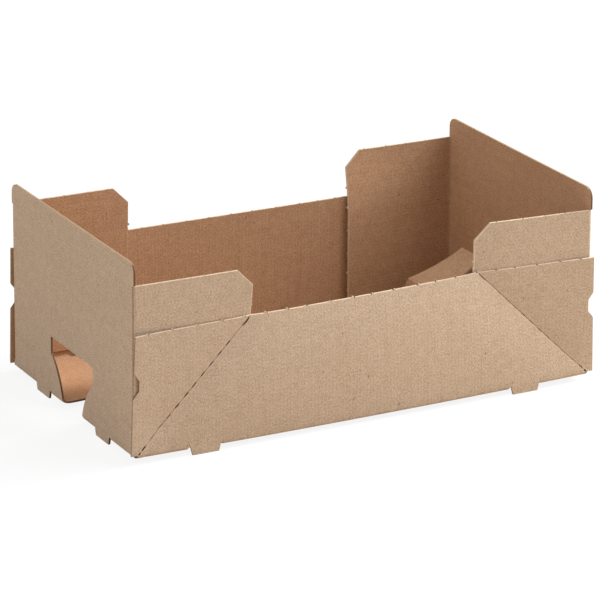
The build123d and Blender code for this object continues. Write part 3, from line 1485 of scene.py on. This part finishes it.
@dataclass(frozen=True)
class KraftLiner:
    """Kraft liner paper glued over fine flutes.

    The tones are for bare paper, its darker parts, its flecks, a crushed fold darkened further as
    painted crease shade, and a painted highlight along cut edges that catch the light.
    The weights say how far each layer of noise moves the paper from its deep tone to its pale one,
    and the reliefs how far it raises the paper.
    """

    name: str
    pale: Colour
    deep: Colour
    fleck: Colour
    # Crushed liner in a fold, darkened further as painted crease shade.
    score_and_crease_shade: Colour
    # Painted highlight along cut edges that catch the light.
    rim: Colour
    middle: Flat
    streak_weight: float
    flute_weight: float
    slow: Grain = Grain(14.0, 2.0)
    cloud: Grain = Grain(150.0, 3.0)
    mottle: Grain = Grain(560.0, 3.0, 0.65)
    pulp: Grain = Grain(1750.0, 2.0, 0.6, 0.4)
    fibres: Grain = Grain(900.0, 3.0, 0.6, 0.12)
    bands: Grain = Grain(230.0, 2.0, 0.5, 0.07)
    flecks: Grain = Grain(420.0, 1.0, 0.4, 0.45)
    slow_weight: float = 0.35
    cloud_weight: float = 0.95
    mottle_weight: float = 1.4
    pulp_weight: float = 4.7
    band_share: float = 0.6
    flute_drift: float = 3.0
    fleck_range: Span = (0.755, 0.80)
    fleck_share: float = 0.6
    patch_range: Span = (0.3, 0.5)
    flute_relief: float = 0.2
    fibre_relief: float = 0.5
    mottle_relief: float = 0.9
    pulp_relief: float = 0.8
    relief: float = 0.00018
    relief_strength: float = 0.3
    rough: float = 0.82
    shine: float = 0.22
    board: Board = field(default_factory=Board)

    def make(self, blank: Blank) -> bpy.types.Material:
        """Make the material.

        Args:
            blank: The blank, which tells where the folds and cuts mark the liner.

        Returns:
            The material.
        """
        material, desk = ShaderDesk.for_material(self.name)
        place = desk.blank_place()
        across, beyond = desk.part(place, 0), desk.part(place, 1)
        slow = self.slow.sample(desk, place)
        cloud = self.cloud.sample(desk, place)
        mottle = self.mottle.sample(desk, place)
        pulp = self.pulp.sample(desk, place)
        fibres = self.fibres.sample(desk, place)
        bands = self.bands.sample(desk, place)
        flutes = (across * self.board.flute_turns + slow * self.flute_drift).sine()
        tone = (
            (cloud - 0.5) * self.cloud_weight
            + (mottle - 0.5) * self.mottle_weight
            + (pulp - 0.5) * self.pulp_weight
            + (fibres - 0.5) * self.streak_weight
            + (bands - 0.5) * self.streak_weight * self.band_share
            + (slow - 0.5) * self.slow_weight
            + flutes * self.flute_weight
            + 0.5
        )
        colour = desk.mix(tone.greater(0.0).lesser(1.0), self.deep, self.pale)
        flecks = self.flecks.sample(desk, place).band(*self.fleck_range)
        colour = desk.mix(flecks * self.fleck_share, colour, self.fleck)
        # Breaks the painted crease shade and highlights of the marks into patches.
        patches = mottle.band(*self.patch_range)
        for mark in blank.marks(self.score_and_crease_shade, self.pale, self.rim):
            line = mark.mask(abs(across - self.middle[0]), abs(beyond - self.middle[1]))
            colour = desk.mix(line * patches, colour, mark.tone)
        height = (
            flutes * self.flute_relief
            + (fibres - 0.5) * self.fibre_relief
            + (mottle - 0.5) * self.mottle_relief
            + (pulp - 0.5) * self.pulp_relief
        )
        sockets = {"Strength": self.relief_strength, "Distance": self.relief, "Height": height}
        normal = desk.node("ShaderNodeBump", None, sockets)
        desk.close(colour, self.rough, self.shine, normal)
        return material


@dataclass(frozen=True)
class CutEdge:
    """Cut edge of the board, where the fluting paper shows between the liners.

    Across the edge, 0 and 1 are the faces of the board. The hollows between the fluting paper are
    painted dark as shade, and stains take the same dark tone.
    """

    name: str
    paper: Colour
    # Painted shade of the hollows between the liners, also the tone of stains.
    shade_and_stain: Colour
    fluted: bool
    torn: Grain = Grain(1300.0, 3.0)
    torn_range: Span = (0.42, 0.55)
    wave: float = 0.3
    wave_line: Span = (0.2, 0.08)
    liner_line: Span = (0.30, 0.38)
    plain_line: Span = (0.18, 0.34)
    stain_range: Span = (0.45, 0.75)
    stain_share: float = 0.25
    rough: float = 0.9
    shine: float = 0.15
    board: Board = field(default_factory=Board)

    def make(self) -> bpy.types.Material:
        """Make the material.

        Returns:
            The material.
        """
        material, desk = ShaderDesk.for_material(self.name)
        place = desk.blank_place()
        along = desk.part(place, 0)
        off_middle = desk.part(place, 1) / (self.board.thickness * MM) - 0.5
        torn = self.torn.sample(desk, place)
        if self.fluted:
            wave = (along * self.board.flute_turns).sine() * self.wave
            paper_line = abs(off_middle - wave).band(*self.wave_line)
            solid = paper_line.greater(abs(off_middle).band(*self.liner_line))
        else:
            solid = abs(off_middle).band(*self.plain_line).greater(torn.band(*self.torn_range))
        # Paper where the board is solid, painted shade in the hollows.
        tone = desk.mix(solid, self.shade_and_stain, self.paper)
        tone = desk.mix(torn.band(*self.stain_range) * self.stain_share, tone, self.shade_and_stain)
        desk.close(tone, self.rough, self.shine)
        return material


@dataclass
class Folding:
    """Corners, faces, skins and places in the flat, gathered for the tray's mesh."""

    corners: list[Vector] = field(default_factory=list)
    faces: list[tuple[int, ...]] = field(default_factory=list)
    skins: list[Skin] = field(default_factory=list)
    places: list[Sequence[Flat]] = field(default_factory=list)

    def add(self, face: tuple[int, ...], skin: Skin, places: Sequence[Flat]) -> None:
        """Add one face.

        Args:
            face: Numbers of its corners.
            skin: Its skin.
            places: Its corners' places in the flat, in metres.
        """
        self.faces.append(face)
        self.skins.append(skin)
        self.places.append(places)

    def mesh(self, name: str) -> bpy.types.Mesh:
        """Make the mesh.

        Args:
            name: Its name.

        Returns:
            The mesh, with the tongues joined to the floor along their hinge lines.
        """
        mesh = bpy.data.meshes.new(name)
        mesh.from_pydata([corner * MM for corner in self.corners], [], self.faces)
        layer = mesh.uv_layers.new(name=BLANK_MAP)
        for polygon, skin, places in zip(mesh.polygons, self.skins, self.places):
            polygon.material_index = int(skin)
            polygon.use_smooth = skin in (Skin.OUTSIDE, Skin.INSIDE)
            for loop, place in zip(polygon.loop_indices, places):
                layer.data[loop].uv = place
        mesh.validate()
        work = bmesh.new()
        work.from_mesh(mesh)
        bmesh.ops.remove_doubles(work, verts=work.verts, dist=WELD)
        work.to_mesh(mesh)
        work.free()
        mesh.set_sharp_from_angle(angle=math.radians(SHARP_ANGLE))
        return mesh


@dataclass
class FoldedTray:
    """The whole tray as one piece of folded board.

    The middle of each liner's flat is a place in the UV map, in metres, clear of the other's. A
    cut edge runs along the blank if its part along is more than the slope times its part across.
    """

    blank: Blank = field(default_factory=Blank)
    outside: KraftLiner = KraftLiner(
        name="outside_liner",
        pale=(0.64, 0.504, 0.384),
        deep=(0.46, 0.333, 0.228),
        fleck=(0.16, 0.08, 0.04),
        # The fold tone is crushed liner with painted crease shade; the rim tone is a painted highlight
        # along lit cut edges.
        score_and_crease_shade=(0.29, 0.14, 0.07),
        rim=(0.80, 0.66, 0.52),
        middle=(0.35, 0.25),
        streak_weight=0.75,
        flute_weight=0.05,
    )
    inside: KraftLiner = KraftLiner(
        name="inside_liner",
        pale=(0.552, 0.341, 0.201),
        deep=(0.376, 0.212, 0.118),
        fleck=(0.14, 0.065, 0.03),
        # The fold tone is crushed liner with painted crease shade; the rim tone is a painted highlight
        # along lit cut edges.
        score_and_crease_shade=(0.20, 0.085, 0.04),
        rim=(0.56, 0.39, 0.25),
        middle=(0.35, 0.75),
        streak_weight=0.9,
        flute_weight=0.07,
    )
    fluted_edge: CutEdge = CutEdge("fluted_edge", (0.27, 0.165, 0.098), (0.09, 0.045, 0.025), True)
    plain_edge: CutEdge = CutEdge("plain_edge", (0.42, 0.29, 0.18), (0.22, 0.13, 0.075), False)
    # Paler paper painted on cut edges that catch the light: a painted highlight.
    lit_edge: CutEdge = CutEdge("lit_edge", (0.71, 0.56, 0.425), (0.46, 0.33, 0.225), False)
    # Darker paper painted on cut edges in slits and notches: painted shade.
    shaded_edge: CutEdge = CutEdge("shaded_edge", (0.30, 0.165, 0.095), (0.14, 0.072, 0.04), False)
    slope: float = 0.6

    def build(self) -> bpy.types.Object:
        """Fold the blank and its tongues into one mesh object.

        Returns:
            The piece.
        """
        blank, tongue = self.blank, self.blank.tongue
        folding = Folding()
        tongue_sheet = tongue.sheet()
        self._fold(folding, blank.sheet(), 1, blank.place, self._blank_skin)
        for side in (1, -1):
            self._fold(folding, tongue_sheet, side, tongue.place, self._tongue_skin)
        piece = bpy.data.objects.new("folded_board", folding.mesh("folded_board"))
        bpy.context.scene.collection.objects.link(piece)
        return piece

    def _fold(
        self,
        folding: Folding,
        sheet: Sheet,
        side: int,
        carry: Callable[[float, float, float], Vector],
        edge_skin: Callable[[Flat, Flat], Skin],
    ) -> None:
        """Fold one flat sheet, and gather both its liners and its cut edges.

        Args:
            folding: What the mesh is gathered in.
            sheet: The flat sheet.
            side: 1 as it is drawn, or -1 mirrored to the left-hand end.
            carry: Function that carries a flat point at a depth to its place.
            edge_skin: Function that gives the skin of a cut edge between two flat points.
        """
        start = len(folding.corners)
        count = len(sheet.points)
        thickness = self.blank.board.thickness
        for depth in (0.0, thickness):
            for u, v in sheet.points:
                folded = carry(u, v, depth)
                folding.corners.append(Vector((side * folded.x, folded.y, folded.z)))
        under, over = (
            [(side * u * MM + finish.middle[0], v * MM + finish.middle[1]) for u, v in sheet.points]
            for finish in (self.outside, self.inside)
        )
        for face in sheet.triangles:
            inner = face if side > 0 else tuple(reversed(face))
            outer = tuple(reversed(inner))
            folding.add(tuple(start + n for n in outer), Skin.OUTSIDE, [under[n] for n in outer])
            folding.add(tuple(start + count + n for n in inner), Skin.INSIDE, [over[n] for n in inner])
        for first, second in sheet.rim():
            if self._on_hinge(sheet.points[first]) and self._on_hinge(sheet.points[second]):
                continue
            if side < 0:
                first, second = second, first
            ends = (sheet.points[first], sheet.points[second])
            corners = (start + first, start + second, start + count + second, start + count + first)
            axis = self._run_axis(ends)
            near, far = (side * end[axis] * MM for end in ends)
            edge = [(near, 0.0), (far, 0.0), (far, thickness * MM), (near, thickness * MM)]
            folding.add(corners, edge_skin(*ends), edge)

    def _on_hinge(self, point: Flat) -> bool:
        """Tell whether a flat point is on a tongue's hinge line, where no edge is cut.

        Args:
            point: The point.

        Returns:
            Whether it is on the line.
        """
        tongue = self.blank.tongue
        on_line = abs(abs(point[0]) - tongue.root) < CLOSE
        return on_line and abs(point[1]) < tongue.root_width / 2 + CLOSE

    def _run_axis(self, ends: Sequence[Flat]) -> int:
        """Tell whether a cut edge runs more along the blank (0) or across it (1)."""
        run_u, run_v = (abs(ends[0][axis] - ends[1][axis]) for axis in (0, 1))
        return 0 if run_u > self.slope * run_v else 1

    def _blank_skin(self, first: Flat, second: Flat) -> Skin:
        """Choose the skin of a cut edge of the blank.

        Args:
            first: Flat point at one end of the edge.
            second: Flat point at its other end.

        Returns:
            The skin.
        """
        ends = [(abs(u), abs(v)) for u, v in (first, second)]
        # Wall tops and ear edges get the paler paper of a painted highlight.
        if all(self.blank.on_lit_rim(u, v) for u, v in ends):
            return Skin.LIT_EDGE
        # Edges in slits and side notches get the darker paper of painted shade.
        if all(self.blank.in_shaded_cut(u, v) for u, v in ends):
            return Skin.SHADED_EDGE
        return Skin.PLAIN_EDGE if self._run_axis((first, second)) else Skin.FLUTED_EDGE

    @staticmethod
    def _tongue_skin(_first: Flat, _second: Flat) -> Skin:
        """Give the skin of a tongue's cut edges, which all get the paler paper of the painted highlight.
        """
        return Skin.LIT_EDGE

    def dress(self, piece: bpy.types.Object) -> None:
        """Give the board its papers and cut edges.

        Args:
            piece: The folded board.
        """
        for liner in (self.outside, self.inside):
            piece.data.materials.append(liner.make(self.blank))
        for edge in (self.fluted_edge, self.plain_edge, self.lit_edge, self.shaded_edge):
            piece.data.materials.append(edge.make())


@dataclass(frozen=True)
class View:
    """Where the camera stands, in metres and degrees, and its focal length in pixels."""

    azimuth: float = -28.308
    elevation: float = 19.895
    roll: float = 0.665
    place: tuple[float, float, float] = (-1.2317, -2.2839, 0.99975)
    focal_pixels: float = 3668.02
    image_pixels: int = 600
    sensor_mm: float = 36.0
    reach: float = 50.0

    def build(self) -> bpy.types.Object:
        """Make the camera and hand it to the scene.

        Returns:
            The camera.
        """
        data = bpy.data.cameras.new("camera")
        data.sensor_width = self.sensor_mm
        data.sensor_fit = "AUTO"
        data.lens = self.focal_pixels / self.image_pixels * self.sensor_mm
        data.clip_end = self.reach
        azimuth, elevation = math.radians(self.azimuth), math.radians(self.elevation)
        right = Vector((math.cos(azimuth), math.sin(azimuth), 0.0))
        back = Vector(
            (
                math.sin(azimuth) * math.cos(elevation),
                -math.cos(azimuth) * math.cos(elevation),
                math.sin(elevation),
            )
        )
        up = back.cross(right)
        turn = Matrix((right, up, back)).transposed() @ Matrix.Rotation(math.radians(self.roll), 3, "Z")
        camera = bpy.data.objects.new("camera", data)
        camera.matrix_world = Matrix.Translation(self.place) @ turn.to_4x4()
        bpy.context.scene.collection.objects.link(camera)
        bpy.context.scene.camera = camera
        return camera


@dataclass(frozen=True)
class Lamp:
    """One soft lamp: its place, what it faces, its size and its power."""

    name: str
    place: tuple[float, float, float]
    size: float
    watts: float
    target: tuple[float, float, float] = (0.0, 0.0, 0.06)

    def build(self) -> bpy.types.Object:
        """Make the lamp.

        Returns:
            The lamp.
        """
        data = bpy.data.lights.new(self.name, "AREA")
        data.shape = "SQUARE"
        data.size = self.size
        data.energy = self.watts
        lamp = bpy.data.objects.new(self.name, data)
        lamp.location = self.place
        aim = Vector(self.target) - Vector(self.place)
        lamp.rotation_euler = aim.to_track_quat("-Z", "Y").to_euler()
        bpy.context.scene.collection.objects.link(lamp)
        return lamp


@dataclass
class Studio:
    """Pale floor, white surroundings, soft lamps and the camera."""

    floor_half: float = 4.0
    floor_tone: Colour = (0.58, 0.48, 0.38)
    floor_white: float = 0.88
    daylight: float = 0.42
    lamps: tuple[Lamp, ...] = (
        Lamp("right_lamp", (1.99, 0.0, 1.15), 1.0, 65.0),
        Lamp("front_lamp", (1.21, -0.68, 1.82), 1.4, 36.0),
        Lamp("left_lamp", (-2.45, -0.65, 1.0), 1.6, 17.0),
    )
    view: View = field(default_factory=View)

    def build(self) -> None:
        """Make the floor, the surroundings, the lamps and the camera."""
        self._floor()
        self._surroundings()
        for lamp in self.lamps:
            lamp.build()
        self.view.build()

    def _floor(self) -> None:
        """Lay the floor, which the camera sees as white apart from the tray's shadow."""
        half = self.floor_half
        corners = [(-half, -half, 0), (half, -half, 0), (half, half, 0), (-half, half, 0)]
        mesh = bpy.data.meshes.new("floor")
        mesh.from_pydata(corners, [], [(0, 1, 2, 3)])
        floor = bpy.data.objects.new("floor", mesh)
        bpy.context.scene.collection.objects.link(floor)
        material, desk = ShaderDesk.for_material("floor_white")
        camera_ray = desk.node("ShaderNodeLightPath", None, None, "Is Camera Ray")
        tone = desk.mix(camera_ray, self.floor_tone, WHITE)
        matt = desk.node("ShaderNodeBsdfDiffuse", None, {"Color": tone})
        white = desk.node("ShaderNodeEmission", None, {"Color": (*WHITE, 1.0), "Strength": 1.0})
        share = camera_ray * self.floor_white
        surface = desk.node("ShaderNodeMixShader", None, {0: share, 1: matt, 2: white})
        desk.node("ShaderNodeOutputMaterial", None, {0: surface})
        mesh.materials.append(material)

    def _surroundings(self) -> None:
        """Light the tray from all round and show white behind it."""
        world = bpy.data.worlds.new("surroundings")
        bpy.context.scene.world = world
        world.use_nodes = True
        desk = ShaderDesk(world.node_tree)
        paths = [
            desk.node("ShaderNodeLightPath", None, None, name)
            for name in ("Is Camera Ray", "Is Glossy Ray", "Is Transmission Ray")
        ]
        seen = paths[0].greater(paths[1]).greater(paths[2])
        plain = (*WHITE, 1.0)
        light = desk.node("ShaderNodeBackground", None, {"Color": plain, "Strength": self.daylight})
        white = desk.node("ShaderNodeBackground", None, {"Color": plain, "Strength": 1.0})
        surface = desk.node("ShaderNodeMixShader", None, {0: seen, 1: light, 2: white})
        desk.node("ShaderNodeOutputWorld", None, {0: surface})


def main() -> None:
    """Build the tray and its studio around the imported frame."""
    logging.basicConfig(level=logging.INFO, format="%(name)s: %(message)s")
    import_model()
    bpy.context.scene.view_settings.view_transform = "Standard"

    tray = FoldedTray()
    piece = tray.build()
    tray.dress(piece)
    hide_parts("folded_tray")
    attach(piece, "root")
    LOG.info("%s: %d faces", piece.name, len(piece.data.polygons))

    studio = Studio()
    studio.build()
    LOG.info("studio: %d lamps", len(studio.lamps))


if __name__ == "__main__":
    main()
